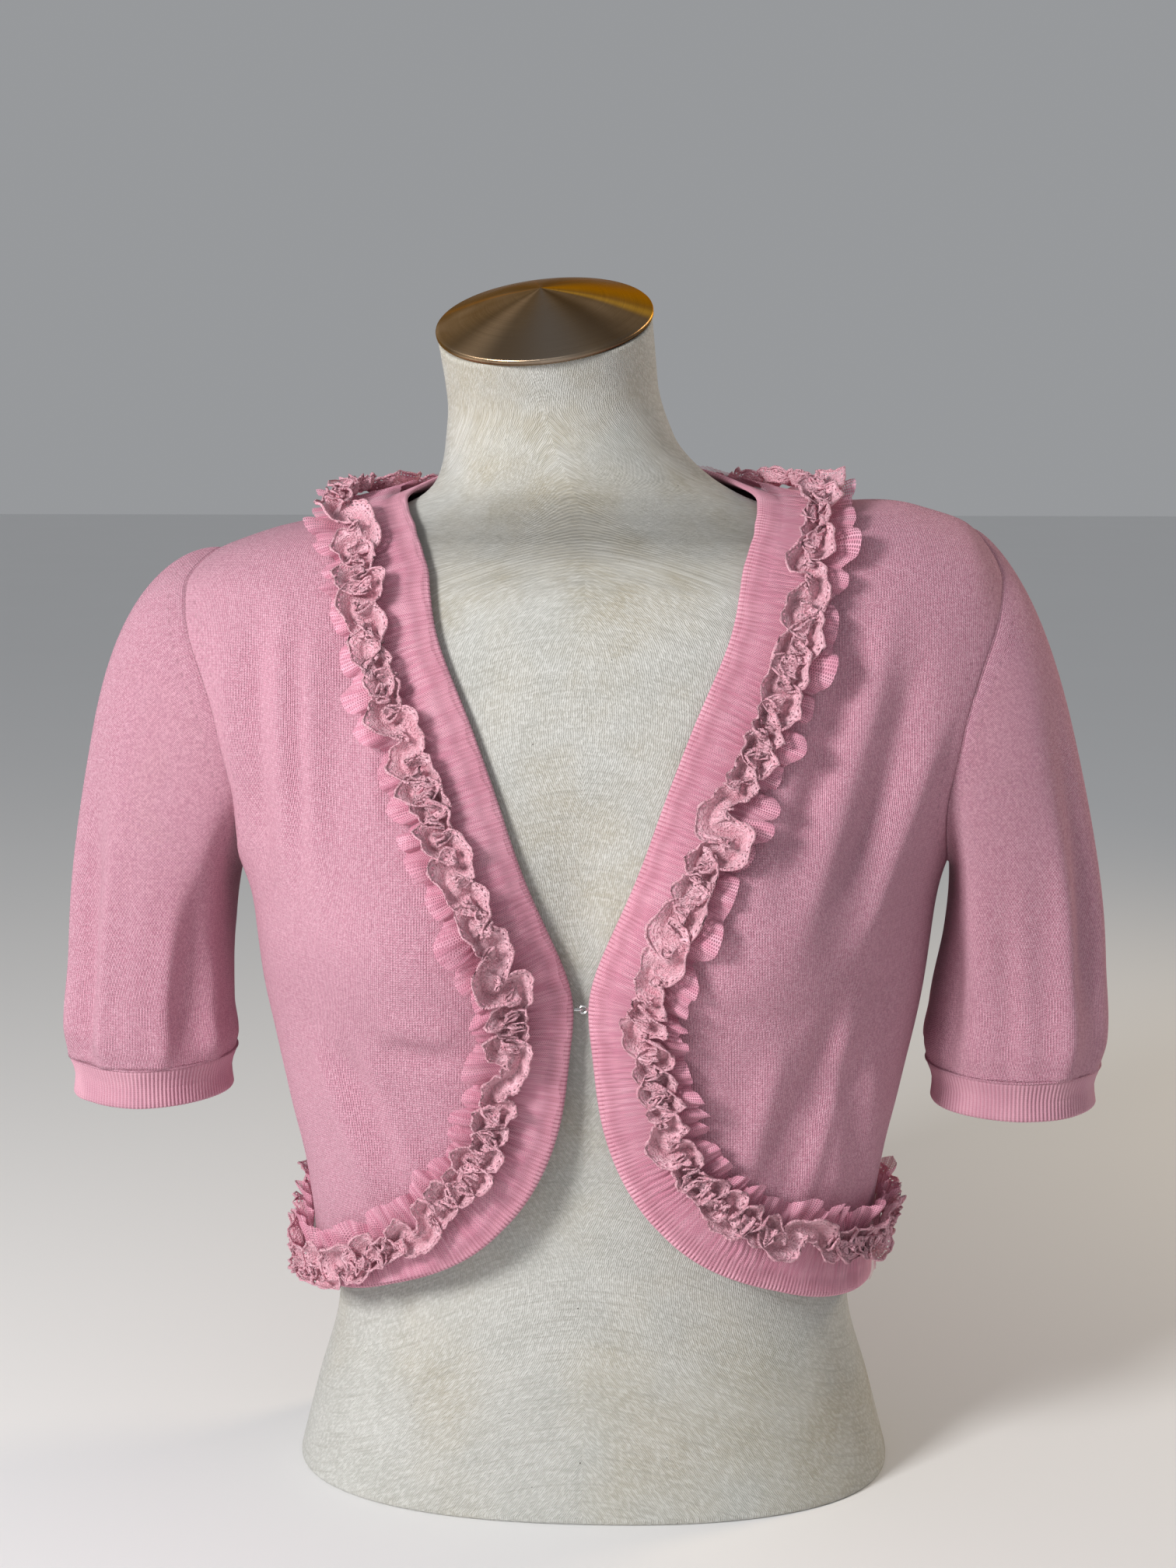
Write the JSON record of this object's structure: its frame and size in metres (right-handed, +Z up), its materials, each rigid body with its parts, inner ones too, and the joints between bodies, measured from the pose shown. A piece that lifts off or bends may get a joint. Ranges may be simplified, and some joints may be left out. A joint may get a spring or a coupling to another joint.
{
  "type": "cropped cardigan on dress form",
  "caption": "Short-sleeved cropped knit cardigan, open at the front, edged with a ribbed band and gathered tulle and lace, on a limbless dress form with a metal neck cap.",
  "frame": {"origin": "centre of the dress form's flat underside", "axes": "+Z up, -Y out of the garment's front, +X to the right of someone who looks at the front"},
  "size_m": [0.5238, 0.2556, 0.5992],
  "materials": {
    "pink_knit": "fine pink jersey knit",
    "pink_rib": "pink ribbed knit",
    "pink_tulle": "sheer pink net",
    "dusty_pink_lace": "dusty pink gathered lace",
    "off_white_linen": "off-white woven cover",
    "brushed_brass": "brushed, darkened",
    "clasp_wire": "bright wire"
  },
  "bodies": {
    "root": {"form_torso": "off_white_linen", "neck_cap": "brushed_brass", "front_right": "pink_knit", "front_left": "pink_knit", "back": "pink_knit", "sleeve_right": "pink_knit", "sleeve_left": "pink_knit", "cuff_right": "pink_rib", "cuff_left": "pink_rib", "band_neck_back": "pink_rib", "band_front_right": "pink_rib", "band_front_left": "pink_rib", "band_hem_back": "pink_rib", "tulle_neck_back": "pink_tulle", "tulle_front_right": "pink_tulle", "tulle_front_left": "pink_tulle", "tulle_hem_back": "pink_tulle", "lace_neck_back": "dusty_pink_lace", "lace_front_right": "dusty_pink_lace", "lace_front_left": "dusty_pink_lace", "lace_hem_back": "dusty_pink_lace", "clasp_eye": "clasp_wire", "clasp_hook": "clasp_wire"}
  },
  "joints": []
}
